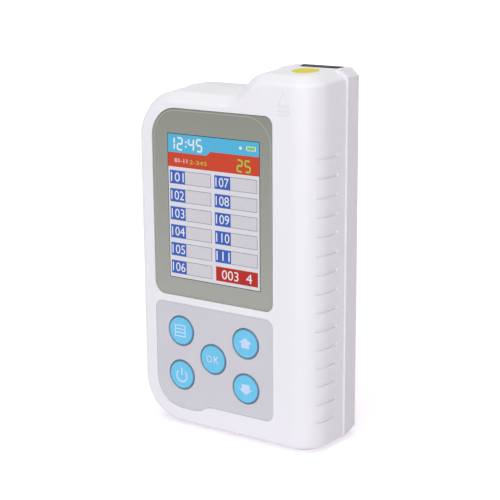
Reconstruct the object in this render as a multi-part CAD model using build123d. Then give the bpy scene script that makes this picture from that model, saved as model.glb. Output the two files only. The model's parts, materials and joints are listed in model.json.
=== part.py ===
from build123d import *
import os
from math import acos, ceil, cos, floor, pi, radians, sin, sqrt, tan

os.makedirs("parts", exist_ok=True)

# Frame: standing on its base, +Z up, the screen faces -Y, the tray column is at +X.
# Millimetres. The origin is under the middle of the case, at the height of its base.

# Walls, and how the shells narrow away from the line where they meet
wall = 2.0
edge_match = 0.02  # how near an edge must lie to be picked
step_side = 0.6  # the rear shell stands proud of the front shell by this
step_top = 0.2
draft_angle = 3.0
bevel_depth = 4.5
bevel_top = 2.85
bevel_side = 2.1
bevel_base = 2.2
rear_cut_top = (2.7, 2.5)  # the rear shell's upper right corner, across and down
rear_cut_base = (3.4, 4.1)  # its lower right corner, where the back begins to slope
front_corner_radius = 9.4
face_edge_radius = 1.6
shoulder_edge_radius = 2.0
rear_bevel = 4.7
rear_edge_radius = 2.2
tongue_height = 1.4
tongue_thickness = 0.8
tongue_offset = 0.75
tongue_gap = 0.1

# Outline of the case seen from the front
top_corner_radius = 16.0
base_corner_radius = 18.0
column_rise = 7.95  # how far the tray column stands above the left shoulder
rise_radius = 8.5
rise_lean = 0.55  # how far the rise moves to the right for each millimetre of inset
rise_to_lens = 20.42  # from the foot of the rise to the lens's right edge

# Left to right: rim, lens, column. The key panel is as wide as the lens.
rim_width = 8.38
lens_width = 48.2
column_width = 16.92

# Bottom to top: rim, key panel, bar, lens, shoulder rim, column
rim_height = 7.0
panel_height = 37.92
bar_height = 2.68
lens_height = 64.4
shoulder_height = 6.05

# Lens and display
lens_radii = (10.0, 3.0, 3.0, 4.0)  # top left, top right, bottom right, bottom left
lens_thickness = 1.0
lens_edge = 0.25
inlay_recess = 0.2  # how deep the lens and the key panel sit below the front face
inlay_gap = 0.1
screen_from_left = 6.52
screen_from_right = 5.09
screen_from_top = 8.64
screen_from_bottom = 6.54
window_margin = 0.5
screen_border = 3.0
screen_tail = 5.2  # the glass ledge under the picture, where the ribbon starts
screen_glass_thickness = 0.7
screen_backlight_thickness = 1.9
screen_gap = 0.1
foam_border = 2.0
ribbon_thickness = 0.3
ribbon_drop = 6.0
screen_ribbon_width = 10.0

# Key panel and keys
panel_step = 2.46  # the panel's lower edge is higher on its right part
panel_step_start = 17.47
panel_step_run = 4.4
panel_radii = (3.0, 2.8, 3.0, 6.0, 6.0, 10.3)
panel_thickness = 0.5
key_radius = 5.27
key_gap = 0.18
key_edge = 0.35
key_flange = 0.9
key_flange_thickness = 0.7
key_travel = 0.6
key_from_left = 10.51
key_from_top = 9.86
key_pitch_x = 13.36
key_pitch_z = 7.97
rest_gap = 0.1

# Mark moulded into the column, pointing where the tray comes out, and the round sticker
mark_from_lens = 4.34
mark_from_top = 9.9
mark_width = 4.0
mark_height = 4.1
mark_depth = 0.3
mark_bar_gap = 0.25
mark_bar_height = 0.65
mark_bar_pitch = 1.4
mark_bars = 3
top_mark_radius = 4.4
top_mark_from_lens = 4.4
top_mark_from_parting = 5.5
top_mark_thickness = 0.12

# Grip grooves round the column
groove_count = 15
groove_from_top = 26.7
groove_pitch = 6.31
groove_height = 1.0
groove_depth = 0.45
groove_end = 0.45  # rounding of the ends
groove_rim = 0.25  # rounding of the floor's edges
groove_from_parting = 4.4
groove_reach = 10.1

# Main board, its posts and its switches
board_stand = 4.0
board_thickness = 1.6
board_margin_left = 6.25
board_margin_right = 1.32
board_margin_base = 9.0
board_margin_top = 1.0
board_corner_radius = 8.0
post_radius = 2.1
post_inset_left = 0.6
post_inset_right = 3.9
post_spacing = 44.0
boss_clearance = 0.5
switch_width = 6.0
switch_height = 1.9
switch_floor = 0.3
plunger_radius = 1.2
plunger_inside = 0.6
plunger_gap = 0.1

# Screws, all of one thread
screw_radius = 1.0
screw_gap = 0.02
screw_head_radius = 1.8
screw_head_height = 1.2
screw_bite = 3.0
tip_gap = 0.3  # free depth in front of a screw's tip
case_boss_radius = 2.6
case_boss_inset = 8.75
case_bite = 6.0
screw_floor = 2.0  # plastic that a case screw's head bears on
counterbore_gap = 0.3
counterbore_wall = 1.2
drive_radius = 0.8
drive_depth = 0.6
screw_edge = 0.4

# Tray, its slot and its guide
tray_width = 12.7
tray_thickness = 4.3
tray_gap = 0.3
tray_from_side = 5.45
tray_bottom = 12.5
tray_cap_proud = 0.2
tray_cap_edge = 0.25
slot_land = 1.0  # the strip of rear shell in front of the slot
slot_margin = 0.4
slot_right_margin = 0.6
slot_left_front_margin = 0.6
slot_left_rear_margin = 2.9
strip_width = 5.4
strip_depth = 1.4
strip_from_right = 4.9
strip_from_top = 6.0
reference_length = 8.0
guide_wall = 1.2
guide_stand = 2.2
guide_from_top = 7.0
guide_lip = 1.4
guide_lip_height = 61.0
guide_screw_pitch = 26.0
guide_ear = 6.2
guide_ear_height = 6.0
home_sensor_offset = 2.4
home_sensor_width = 6.0
home_sensor_height = 4.0
home_sensor_window = 2.0

# Rack and pinion
gear_module = 0.7
pinion_teeth = 18
pressure_angle = 20.0
backlash = 0.12
flank_steps = 4
centre_spread = 0.05
pinion_from_top = 28.0
gear_inset = 0.2  # how far behind the tray's front face the gears start
gear_width = 1.8
rack_inset = 0.1
rack_body = 1.0
rack_ends = 4.0
rack_from_bottom = 6.5

# Tray motor
motor_radius = 7.5
motor_length = 9.5
motor_stand = 2.0
motor_edge = 0.6
shaft_gap = 0.05
shaft_radius = 0.75
shaft_inside = 7.0
bracket_thickness = 0.8
bracket_ear_distance = 9.05
bracket_ear_offset = 10.5
bracket_ear_radius = 3.0
bracket_bore = 2.2
pinion_clearance = 1.2
motor_screw_radius = 0.7
motor_screw_head = 1.3
motor_screw_length = 2.4
motor_screw_offset = 4.6
motor_screw_head_share = 0.75  # how much of the bracket's thickness the screw heads take up
motor_lead_radius = 0.4
motor_lead_offset = 2.5

# Optical head
head_width = 10.0
head_from_side = 4.85
head_height = 16.0
head_from_top = 10.0
head_depth = 7.0
head_edge = 0.8
head_tray_gap = 0.6
window_thickness = 0.8
window_width = 7.0
window_height = 13.0
well_radius = 1.7
well_pitch = 4.6
diode_radius = 1.5
diode_height = 2.6
sensor_board_above = 2.0
sensor_board_below = 24.0
sensor_screw_drop = 6.0
sensor_screw_pitch = 14.0
ribbon_width = 6.0
ribbon_below_head = 10.0
ribbon_on_main_board = 3.5
ribbon_on_sensor_board = 2.5

# Battery and the small parts on the main board
cell_margin_left = 6.75
cell_width = 35.0
cell_bottom = 20.0
cell_to_motor = 20.0
cell_thickness = 7.6
cell_edge = 1.5
pad_thickness = 1.0
pad_border = 3.0
lead_radius = 0.7
lead_bend = 3.5
lead_from_left = 18.0
lead_pitch = 2.0
lead_rise = 9.0
socket_width = 7.0
socket_height = 5.0
socket_depth = 3.0
usb_z = 30.0
usb_width = 7.6
usb_height = 2.7
usb_length = 7.0
usb_recess = 1.2
usb_clearance = 0.4
usb_wall = 0.4
usb_tongue = 0.8
buzzer_inset = 9.5
buzzer_radius = 4.5
buzzer_height = 3.0
buzzer_hole = 0.8
chips = ((26.5, 57.0, 12.0, 12.0, 1.2), (38.5, 61.0, 6.0, 9.0, 1.0), (12.5, 51.0, 5.0, 5.0, 0.9))
radio_inset = 16.5
radio_width = 18.0
radio_rise = 13.0
radio_length = 24.0
radio_height = 2.4
radio_edge = 0.4
label_margin_left = 16.75
label_margin_right = 22.75
label_bottom = 40.0
label_height = 34.0
label_recess = 0.25
label_radius = 2.0

# Width and height of the case, from what stands side by side in its face
case_width = rim_width + lens_width + column_width
shoulder_z = rim_height + panel_height + bar_height + lens_height + shoulder_height
case_height = shoulder_z + column_rise
right = case_width / 2
left = -right
lens_left = left + rim_width
lens_right = lens_left + lens_width
panel_top = rim_height + panel_height
lens_bottom = panel_top + bar_height
lens_top = lens_bottom + lens_height
screen_left = lens_left + screen_from_left
screen_right = lens_right - screen_from_right
screen_top = lens_top - screen_from_top
screen_bottom = lens_bottom + screen_from_bottom
column_split_x = lens_right
rise_start = lens_right - rise_to_lens

# Depth of the case, from what stands behind its face: board, motor, bracket, tray, guide
board_depth = wall + board_stand + board_thickness
motor_depth = motor_stand + motor_length + bracket_thickness + tray_gap
tray_depth = tray_thickness - gear_inset + tray_gap + guide_wall + guide_stand + wall
case_depth = board_depth + motor_depth + tray_depth
front_y = -case_depth / 2
back_y = case_depth / 2
inner_front_y = front_y + wall
inner_back_y = back_y - wall
board_front_y = inner_front_y + board_stand
board_back_y = board_front_y + board_thickness
motor_front_y = board_back_y + motor_stand
bracket_front_y = motor_front_y + motor_length
bracket_back_y = bracket_front_y + bracket_thickness
gear_front_y = bracket_back_y + tray_gap
gear_back_y = gear_front_y + gear_width
tray_front_y = gear_front_y - gear_inset
tray_back_y = tray_front_y + tray_thickness
slot_front_y = tray_front_y - tray_gap - slot_margin
slot_rear_y = tray_back_y + tray_gap + slot_margin / 2
parting_y = slot_front_y - slot_land
shoulder_y = front_y + bevel_depth
rear_shoulder_y = back_y - rear_bevel
draft = tan(radians(draft_angle))
front_cuts = ((bevel_depth, bevel_top), (bevel_depth, bevel_base))
parting_cuts = (rear_cut_top, (bevel_depth, bevel_base))
rear_cuts = (rear_cut_top, rear_cut_base)

# Display and keys
lens_front_y = front_y + inlay_recess
lens_back_y = lens_front_y + lens_thickness
panel_back_y = lens_front_y + panel_thickness
glass_front_y = inner_front_y + screen_gap
glass_back_y = glass_front_y + screen_glass_thickness
backlight_back_y = glass_back_y + screen_backlight_thickness
glass_bottom = screen_bottom - screen_border - screen_tail
key_hole_radius = key_radius + key_gap
flange_front_y = inner_front_y + rest_gap
key_back_y = flange_front_y + key_flange_thickness
switch_front_y = board_front_y - switch_height
key_x = [lens_left + key_from_left + n * key_pitch_x for n in range(3)]
key_z = [panel_top - key_from_top - n * key_pitch_z for n in range(3)]
keys_at = {
    "menu": (key_x[0], key_z[0]),
    "power": (key_x[0], key_z[2]),
    "ok": (key_x[1], key_z[1]),
    "up": (key_x[2], key_z[0]),
    "down": (key_x[2], key_z[2]),
}
mark_x = lens_right + mark_from_lens
mark_base = case_height - mark_from_top
top_mark_x = lens_right + top_mark_from_lens
top_mark_y = parting_y - top_mark_from_parting
groove_top = case_height - groove_from_top
groove_back_y = parting_y - groove_from_parting
groove_front_y = groove_back_y - groove_reach

# Tray, guide and gears
tray_right = right - tray_from_side
tray_left = tray_right - tray_width
slot_outline = (
    (tray_left - slot_left_front_margin, slot_front_y),
    (tray_right + slot_right_margin, slot_front_y),
    (tray_right + slot_right_margin, slot_rear_y),
    (tray_left - slot_left_rear_margin, slot_rear_y),
)
pitch_radius = gear_module * pinion_teeth / 2
tooth_pitch = pi * gear_module
root_depth = 1.25 * gear_module
pinion_tip = pitch_radius + gear_module
pinion_z = case_height - pinion_from_top
rack_tip_x = tray_left + rack_inset
rack_pitch_x = rack_tip_x + gear_module
rack_back_x = rack_pitch_x + root_depth + rack_body
rack_bottom = tray_bottom + rack_from_bottom
rack_top = pinion_z + rack_ends
tray_travel = rack_top - rack_bottom - 2 * rack_ends
pinion_x = rack_pitch_x - pitch_radius - centre_spread
guide_left = tray_left - tray_gap - guide_wall
guide_right = tray_right + tray_gap + guide_wall
guide_front_y = tray_front_y - tray_gap
guide_floor_y = tray_back_y + tray_gap
guide_back_y = guide_floor_y + guide_wall
guide_bottom = tray_bottom - tray_gap - guide_wall
guide_top = case_height - guide_from_top
guide_ear_x = guide_left - guide_ear / 2
guide_posts = [(guide_ear_x, guide_bottom + (n + 1) * guide_screw_pitch) for n in range(2)]
home_sensor_x = tray_left + home_sensor_offset
strip_x = tray_right - strip_from_right
strip_top = case_height - strip_from_top

# Optical head
head_right = right - head_from_side
head_left = head_right - head_width
head_top = case_height - head_from_top
head_bottom = head_top - head_height
head_back_y = tray_front_y - head_tray_gap
head_front_y = head_back_y - head_depth
sensor_board_front_y = head_front_y - board_thickness
sensor_board_bottom = head_bottom - sensor_board_below
sensor_board_top = head_top + sensor_board_above
head_x = (head_left + head_right) / 2
head_z = (head_bottom + head_top) / 2
wells_z = [head_z + n * well_pitch for n in (-1, 0, 1)]
reference_z = head_z - tray_travel
sensor_screws_at = [head_bottom - sensor_screw_drop - n * sensor_screw_pitch for n in range(2)]
ribbon_top = head_bottom - ribbon_below_head
ribbon_bottom = ribbon_top - ribbon_width

# Boards, battery and screws
board_left = left + board_margin_left
board_right = lens_right - board_margin_right
board_bottom = board_margin_base
board_top = lens_top - board_margin_top
post_left_x = lens_left + post_inset_left
post_right_x = lens_right - post_inset_right
post_clear = post_radius + tip_gap
board_posts = (
    (post_left_x, lens_bottom - post_inset_left + post_spacing),
    (post_left_x, lens_bottom - post_inset_left),
    (post_right_x, panel_top - post_clear),
    (post_right_x, rim_height + 2 * post_clear),
)
cell_left = left + cell_margin_left
cell_right = cell_left + cell_width
cell_top = pinion_z - cell_to_motor
cell_back_y = inner_back_y - pad_thickness
cell_front_y = cell_back_y - cell_thickness
cell_middle_y = (cell_front_y + cell_back_y) / 2
lead_x = cell_left + lead_from_left
socket_z = cell_top + lead_rise
socket_back_y = board_back_y + socket_depth
usb_left = left + step_side + usb_recess
buzzer_x = board_left + buzzer_inset
radio_left = board_left + radio_inset
radio_bottom = board_bottom + radio_rise
label_left = left + label_margin_left
label_right = right - label_margin_right
label_top = label_bottom + label_height
head_hole = screw_head_radius + counterbore_gap
case_seat_y = parting_y + screw_floor
counterbore_radius = head_hole + counterbore_wall
base_boss_z = guide_bottom - counterbore_radius - 2 * tip_gap
bracket_top = pinion_z + bracket_ear_offset + bracket_ear_radius
case_screws_at = (
    (left + case_boss_inset, shoulder_z - case_boss_inset - step_top),
    (left + case_boss_inset + wall / 2, case_boss_inset + wall),
    (guide_left - counterbore_radius - 2 * tip_gap, bracket_top + counterbore_radius + tip_gap),
    (right - case_boss_inset, base_boss_z),
)
board_screw_length = board_thickness + screw_bite
bracket_screw_length = bracket_thickness + screw_bite
guide_screw_length = guide_wall + screw_bite
bracket_ear_x = pinion_x - bracket_ear_distance
bracket_posts = [(bracket_ear_x, pinion_z + s * bracket_ear_offset) for s in (-1, 1)]
motor_screws_z = [pinion_z + s * motor_screw_offset for s in (-1, 1)]


def slab(x, y, z):
    """A box between two x, two y and two z."""
    size = [b - a for a, b in (x, y, z)]
    middle = [(a + b) / 2 for a, b in (x, y, z)]
    return Pos(*middle) * Box(*size)


def rod(x, z, y0, y1, radius):
    """A round bar along Y."""
    return Pos(x, (y0 + y1) / 2, z) * Rot(90, 0, 0) * Cylinder(radius, y1 - y0)


def group(solids):
    """Like pieces kept together as one set of separate solids."""
    return Compound([solid for piece in solids for solid in piece.solids()])


def fuse(pieces):
    """Touching pieces joined into one."""
    body = pieces[0]
    for piece in pieces[1:]:
        body = body + piece
    return body


def arc(y, x, z, radius, start, end):
    """An arc about (x, z) in the plane at y, between two angles in degrees."""
    points = []
    for angle in (start, (start + end) / 2, end):
        points.append((x + radius * cos(radians(angle)), y, z + radius * sin(radians(angle))))
    return ThreePointArc(*points)


def polygon(points):
    """A flat face through points in space."""
    return Face(Wire(Polyline(*points, close=True).edges()))


def plate(points, radii, y0, y1):
    """A plate drawn from the front as (x, z) corners, each with its own corner radius."""
    face = polygon([(x, y0, z) for x, z in points])
    for (x, z), radius in zip(points, radii):
        if radius > 0:
            corner = face.vertices().sort_by_distance((x, y0, z))[0]
            face = face.fillet_2d(radius, [corner])
    return extrude(face, y1 - y0, dir=(0, 1, 0))


def bar(points, x0, x1):
    """A bar along X with a section drawn as (y, z) corners."""
    return extrude(polygon([(x0, y, z) for y, z in points]), x1 - x0, dir=(1, 0, 0))


def column_of(points, z0, z1):
    """An upright bar with a plan drawn as (x, y) corners."""
    return extrude(polygon([(x, y, z0) for x, y in points]), z1 - z0, dir=(0, 0, 1))


def soften(body, radius, choose):
    """Round the edges that choose picks."""
    return fillet(body.edges().filter_by(choose), radius)


def lies_at_y(y):
    """Picks the edges that lie in the plane at y."""

    def picks(edge):
        box = edge.bounding_box()
        return max(abs(box.min.Y - y), abs(box.max.Y - y)) < edge_match

    return picks


def case_face(y, side, top, base, cuts=None):
    """The outline in the plane at y, set in at its edges; the column is left out without cuts."""
    face_left = left + side
    high = case_height - top
    low = high - column_rise
    r_top, r_base = top_corner_radius - side, base_corner_radius - side
    start = rise_start + rise_lean * top
    run = rise_radius * sin(pi / 4)
    drop = rise_radius * (1 - cos(pi / 4))
    climb = column_rise - 2 * drop
    end = start + 2 * run + climb
    x_right = right - side if cuts else column_split_x
    edges = [
        arc(y, face_left + r_base, base + r_base, r_base, 270, 180),
        Line((face_left, y, base + r_base), (face_left, y, low - r_top)),
        arc(y, face_left + r_top, low - r_top, r_top, 180, 90),
        Line((face_left + r_top, y, low), (start, y, low)),
        arc(y, start, low + rise_radius, rise_radius, 270, 315),
        Line((start + run, y, low + drop), (start + run + climb, y, high - drop)),
        arc(y, end, high - rise_radius, rise_radius, 135, 90),
    ]
    corners = [(end, high), (x_right, high), (x_right, base), (face_left + r_base, base)]
    if cuts:
        (across_top, down), (across_base, up) = cuts
        corners[1:3] = [
            (x_right - across_top, high),
            (x_right, high - down),
            (x_right, base + up),
            (x_right - across_base, base),
        ]
    for (xa, za), (xb, zb) in zip(corners, corners[1:]):
        edges.append(Line((xa, y, za), (xb, y, zb)))
    return Face(Wire(edges))


def shell_loft(faces):
    """Straight walls from each outline to the next."""
    sides = zip(faces, faces[1:])
    return fuse([Solid.make_loft([a.outer_wire(), b.outer_wire()], ruled=True) for a, b in sides])


def column_plan(inset, rear_y):
    """The column's outline from above, in front of rear_y, set in from its outer face."""
    side = right - step_side - inset
    front = front_y + inset
    points = [
        (column_split_x, front, 0),
        (side - draft * (parting_y - front_y), front, 0),
        (side, parting_y, 0),
        (side, rear_y, 0),
        (column_split_x, rear_y, 0),
    ]
    if rear_y == parting_y:
        del points[3]
    face = polygon(points)
    corner = face.vertices().filter_by(lambda v: v.X > column_split_x + 1 and v.Y < shoulder_y)
    return face.fillet_2d(front_corner_radius - inset, corner)


def front_block(inset, rear_y):
    """The front shell as a full block, or its hollow when it is set in by the wall."""
    front, shoulder = front_y + inset, shoulder_y + inset
    fall = draft * (parting_y - shoulder_y)
    side, top = step_side + inset, step_top + inset
    faces = [
        case_face(front, side + fall + bevel_side, top + fall + bevel_top, inset + bevel_base),
        case_face(shoulder, side + fall, top + fall, inset),
        case_face(rear_y, side, top, inset),
    ]
    slope = fall / (rear_y - shoulder)
    high = case_height - top
    section = [
        (front, inset),
        (rear_y, inset),
        (rear_y, high),
        (front, high - slope * (rear_y - front)),
    ]
    plan = column_plan(inset, rear_y)
    column = extrude(plan, case_height, dir=(0, 0, 1)) & bar(section, 0, case_width)
    for at_top, lean, drop in ((True, slope, bevel_top - slope * bevel_depth), (False, 0, bevel_base)):
        face = column.faces().sort_by(Axis.Z)[-1 if at_top else 0]
        rim = face.edges().filter_by(
            lambda e: min(abs(e.center().Y - rear_y), abs(e.center().X - column_split_x)) > edge_match
        )
        column = chamfer(rim, length=bevel_depth * sqrt(1 + lean**2), length2=drop, reference=face)
    return shell_loft(faces) + column


def ring(outer_inset, inner_inset, y0, y1):
    """A band that follows the case's outline where the two shells meet."""
    bands = []
    for inset in (outer_inset, inner_inset):
        face = case_face(y0, step_side + inset, step_top + inset, inset, front_cuts)
        bands.append(extrude(face, y1 - y0, dir=(0, 1, 0)))
    return bands[0] - bands[1]


def grip_grooves():
    """Level grooves round the column, for the fingers, with round ends and a softened floor."""
    layer = column_plan(-groove_depth, parting_y) - column_plan(groove_depth, parting_y)
    window = slab((column_split_x, case_width), (groove_front_y, groove_back_y), (0, groove_height))
    strip = extrude(layer, groove_height, dir=(0, 0, 1)) & window
    strip = soften(strip, groove_end, is_groove_end)
    plan = column_plan(groove_depth - edge_match, parting_y)
    core = Pos(0, 0, -groove_height) * extrude(plan, 3 * groove_height, dir=(0, 0, 1))
    strip = soften(strip, groove_rim, lambda e: core.is_inside(e @ 0.5) and not is_upright(e, groove_height))
    first = groove_top - groove_height / 2
    return [Pos(0, 0, first - n * groove_pitch) * strip for n in range(groove_count)]


def is_groove_end(edge):
    """One of the level edges that run inward at a groove's two ends."""
    y = (edge @ 0.5).Y
    at_end = min(abs(y - groove_back_y), abs(y - groove_front_y)) < edge_match
    return at_end and abs((edge @ 0).Z - (edge @ 1).Z) < edge_match


def is_upright(edge, height):
    return abs(edge.length - height) < edge_match


def travel_mark():
    """The arrow on the column: a triangle over short bars."""
    half, deep = mark_width / 2, front_y + mark_depth
    apex = [(mark_x - half, mark_base), (mark_x + half, mark_base), (mark_x, mark_base + mark_height)]
    shapes = [plate(apex, (0, 0, 0), front_y, deep)]
    for n in range(mark_bars):
        top = mark_base - mark_bar_gap - n * mark_bar_pitch
        shapes.append(slab((mark_x - half, mark_x + half), (front_y, deep), (top - mark_bar_height, top)))
    return shapes


def upright(x0, x1, z0, z1):
    """The corners of an upright oblong, from its top left corner clockwise."""
    return [(x0, z1), (x1, z1), (x1, z0), (x0, z0)]


def lens_corners(gap):
    corners = upright(lens_left - gap, lens_right + gap, lens_bottom - gap, lens_top + gap)
    return corners, [r + gap for r in lens_radii]


def panel_corners(gap):
    x0, x1, top = lens_left - gap, lens_right + gap, panel_top + gap
    low = rim_height - gap
    high = low + panel_step
    start = lens_left + panel_step_start
    points = [(x0, top), (x1, top), (x1, high), (start + panel_step_run, high), (start, low), (x0, low)]
    return points, [r + gap for r in panel_radii]


def usb_opening():
    """The hole in the left side for the charging socket."""
    gap = usb_clearance
    y = (board_back_y - gap, board_back_y + usb_height + gap)
    z = (usb_z - usb_width / 2 - gap, usb_z + usb_width / 2 + gap)
    return slab((left, usb_left + usb_length), y, z)


def make_front_shell():
    body = front_block(0, parting_y)
    outline = lies_at_y(front_y)
    body = soften(body, face_edge_radius, lambda e: outline(e) and not is_corner_seam(e))
    bend = lies_at_y(shoulder_y)
    body = soften(body, shoulder_edge_radius, lambda e: bend(e) and e.center().Z > wall)
    body = body - front_block(wall, parting_y)
    body = body + ring(tongue_offset, tongue_offset + tongue_thickness, parting_y, parting_y + tongue_height)
    for x, z in case_screws_at:
        body = body + rod(x, z, inner_front_y, parting_y, case_boss_radius)
    for x, z in board_posts:
        body = body + rod(x, z, inner_front_y, board_front_y, post_radius)
    for z in sensor_screws_at:
        body = body + rod(head_x, z, inner_front_y, sensor_board_front_y, post_radius)
    cuts = [
        plate(*lens_corners(inlay_gap), front_y, lens_back_y),
        plate(*panel_corners(inlay_gap), front_y, panel_back_y),
        slab(
            (screen_left - window_margin, screen_right + window_margin),
            (front_y, inner_front_y),
            (screen_bottom - window_margin, screen_top + window_margin),
        ),
        usb_opening(),
    ]
    cuts += [rod(x, z, front_y, inner_front_y, key_hole_radius) for x, z in keys_at.values()]
    cuts += travel_mark() + grip_grooves()
    cuts += [pilot(x, z, parting_y, case_bite) for x, z in case_screws_at]
    cuts += [pilot(x, z, board_front_y, screw_bite) for x, z in board_posts]
    cuts += [pilot(head_x, z, sensor_board_front_y, screw_bite) for z in sensor_screws_at]
    cuts.append(slab((guide_left, guide_right), (parting_y, back_y), (tray_bottom, case_height)))
    for cut in cuts:
        body = body - cut
    return body


def is_corner_seam(edge):
    """The line where the flat face meets the column's rounded corner is already smooth."""
    return edge.center().X > column_split_x and edge.length > case_height / 2


def pilot(x, z, y, bite):
    """The hole that a screw's thread is cut in, going forward from y."""
    return rod(x, z, y - bite - tip_gap, y, screw_radius + screw_gap)


def make_rear_shell():
    inner = rear_bevel - wall + wall * sqrt(2)
    body = shell_loft(
        [
            case_face(parting_y, 0, 0, 0, parting_cuts),
            case_face(rear_shoulder_y, 0, 0, 0, rear_cuts),
            case_face(back_y, rear_bevel, rear_bevel, rear_bevel, rear_cuts),
        ]
    )
    bend = lies_at_y(back_y)
    body = soften(body, rear_edge_radius, bend)
    body = body - shell_loft(
        [
            case_face(parting_y, wall, wall, wall, parting_cuts),
            case_face(back_y - inner, wall, wall, wall, rear_cuts),
            case_face(inner_back_y, inner, inner, inner, rear_cuts),
        ]
    )
    for x, z in case_screws_at:
        body = body + rod(x, z, parting_y, inner_back_y, head_hole + counterbore_wall)
    for x, z in bracket_posts:
        body = body + rod(x, z, bracket_back_y, inner_back_y, post_radius)
    for x, z in guide_posts:
        body = body + rod(x, z, guide_back_y, inner_back_y, post_radius)
    cuts = [ring(tongue_offset - tongue_gap, wall, parting_y, parting_y + tongue_height + tongue_gap)]
    for x, z in case_screws_at:
        cuts.append(rod(x, z, case_seat_y, back_y, head_hole))
        cuts.append(rod(x, z, parting_y, case_seat_y, screw_radius + counterbore_gap))
    cuts += [reverse_pilot(x, z, bracket_back_y) for x, z in bracket_posts]
    cuts += [reverse_pilot(x, z, guide_back_y) for x, z in guide_posts]
    cuts.append(column_of(slot_outline, case_height - rear_bevel, case_height))
    label = upright(label_left, label_right, label_bottom, label_top)
    cuts.append(plate(label, [label_radius] * 4, back_y - label_recess, back_y))
    for cut in cuts:
        body = body - cut
    return body


def reverse_pilot(x, z, y):
    """The same hole going backward from y."""
    return rod(x, z, y, y + screw_bite + tip_gap, screw_radius + screw_gap)


def screw(x, z, seat, length, backward=False):
    """A round-headed screw: its head stands on the seat and its thread goes forward, or backward."""
    turn = -1 if backward else 1
    crown = seat + turn * screw_head_height
    low, high = sorted((seat, crown))
    head = rod(x, z, low, high, screw_head_radius)
    head = soften(head, screw_edge, lies_at_y(crown))
    tip = seat - turn * length
    low, high = sorted((tip, seat))
    drive = extrude(Plane((x, crown, z), z_dir=(0, turn, 0)) * RegularPolygon(drive_radius, 6), -drive_depth)
    return head + rod(x, z, low, high, screw_radius) - drive


def make_top_mark():
    """A plain round sticker on the sloping top of the column."""
    top = case_height - step_top
    front, rear = top_mark_y - top_mark_radius, top_mark_y + top_mark_radius
    low = [(y, top - draft * (parting_y - y)) for y in (front, rear)]
    section = low + [(y, z + top_mark_thickness) for y, z in reversed(low)]
    disc = Pos(top_mark_x, top_mark_y, case_height) * Cylinder(top_mark_radius, wall * 2)
    return disc & bar(section, 0, right)


def make_display_lens():
    body = plate(*lens_corners(0), lens_front_y, lens_back_y)
    return soften(body, lens_edge, lies_at_y(lens_front_y))


def make_key_panel():
    body = plate(*panel_corners(0), lens_front_y, panel_back_y)
    for x, z in keys_at.values():
        body = body - rod(x, z, lens_front_y, panel_back_y, key_hole_radius)
    return body


def make_key(x, z):
    cap = soften(rod(x, z, front_y, key_back_y, key_radius), key_edge, lies_at_y(front_y))
    return cap + rod(x, z, flange_front_y, key_back_y, key_radius + key_flange)


def make_switch(x, z):
    half = switch_width / 2
    body = slab((x - half, x + half), (switch_front_y, board_front_y), (z - half, z + half))
    return body - rod(x, z, switch_front_y, board_front_y - switch_floor, plunger_radius + plunger_gap)


def make_main_board():
    corners = upright(board_left, board_right, board_bottom, board_top)
    body = plate(corners, [board_corner_radius] * 4, board_front_y, board_back_y)
    for x, z in board_posts:
        body = body - rod(x, z, board_front_y, board_back_y, screw_radius + screw_gap)
    for x, z in case_screws_at:
        body = body - rod(x, z, board_front_y, board_back_y, case_boss_radius + boss_clearance)
    return body


def screen_box(border, y0, y1):
    """A slab round the picture, wider than it by the border."""
    x = (screen_left - border, screen_right + border)
    return slab(x, (y0, y1), (screen_bottom - border, screen_top + border))


def make_screen_glass():
    x = (screen_left - screen_border, screen_right + screen_border)
    return slab(x, (glass_front_y, glass_back_y), (glass_bottom, screen_top + screen_border))


def make_screen_foam():
    outer = screen_box(screen_border, backlight_back_y, board_front_y)
    return outer - screen_box(screen_border - foam_border, backlight_back_y, board_front_y)


def make_screen_ribbon():
    start, end = glass_bottom + screen_tail / 2, glass_bottom - ribbon_drop
    centre = (screen_left + screen_right) / 2
    line = [
        (glass_back_y, start),
        (glass_back_y, glass_bottom),
        (board_front_y - ribbon_thickness, end + ribbon_drop / 2),
        (board_front_y - ribbon_thickness, end),
    ]
    section = line + [(y + ribbon_thickness, z) for y, z in reversed(line)]
    return bar(section, centre - screen_ribbon_width / 2, centre + screen_ribbon_width / 2)


def make_battery_cell():
    body = slab((cell_left, cell_right), (cell_front_y, cell_back_y), (cell_bottom, cell_top))
    return soften(body, cell_edge, lambda e: abs(e.length - (cell_top - cell_bottom)) < edge_match)


def make_battery_pad():
    x = (cell_left + pad_border, cell_right - pad_border)
    return slab(x, (cell_back_y, inner_back_y), (cell_bottom + pad_border, cell_top - pad_border))


def make_battery_lead(side):
    x = lead_x + side * lead_pitch / 2
    corners = [(x, cell_middle_y, cell_top), (x, cell_middle_y, socket_z), (x, socket_back_y, socket_z)]
    path = FilletPolyline(*corners, radius=lead_bend)
    return sweep(Plane(corners[0], z_dir=(0, 0, 1)) * Circle(lead_radius), path)


def make_battery_socket():
    x = (lead_x - socket_width / 2, lead_x + socket_width / 2)
    z = (socket_z - socket_height / 2, socket_z + socket_height / 2)
    return slab(x, (board_back_y, socket_back_y), z)


def make_usb_port():
    x = (usb_left, usb_left + usb_length)
    y = (board_back_y, board_back_y + usb_height)
    z = (usb_z - usb_width / 2, usb_z + usb_width / 2)
    body = slab(x, y, z)
    inside = [(a + usb_wall, b - usb_wall) for a, b in (y, z)]
    body = body - slab((x[0], x[1] - usb_wall), *inside)
    middle = (y[0] + y[1]) / 2
    tongue_y = (middle - usb_tongue / 2, middle + usb_tongue / 2)
    tongue_z = (z[0] + usb_height / 2, z[1] - usb_height / 2)
    return body + slab((x[0] + usb_tongue, x[1] - usb_wall), tongue_y, tongue_z)


def make_buzzer():
    back = board_back_y + buzzer_height
    body = rod(buzzer_x, pinion_z, board_back_y, back, buzzer_radius)
    return body - rod(buzzer_x, pinion_z, back - buzzer_height / 2, back, buzzer_hole)


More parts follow.
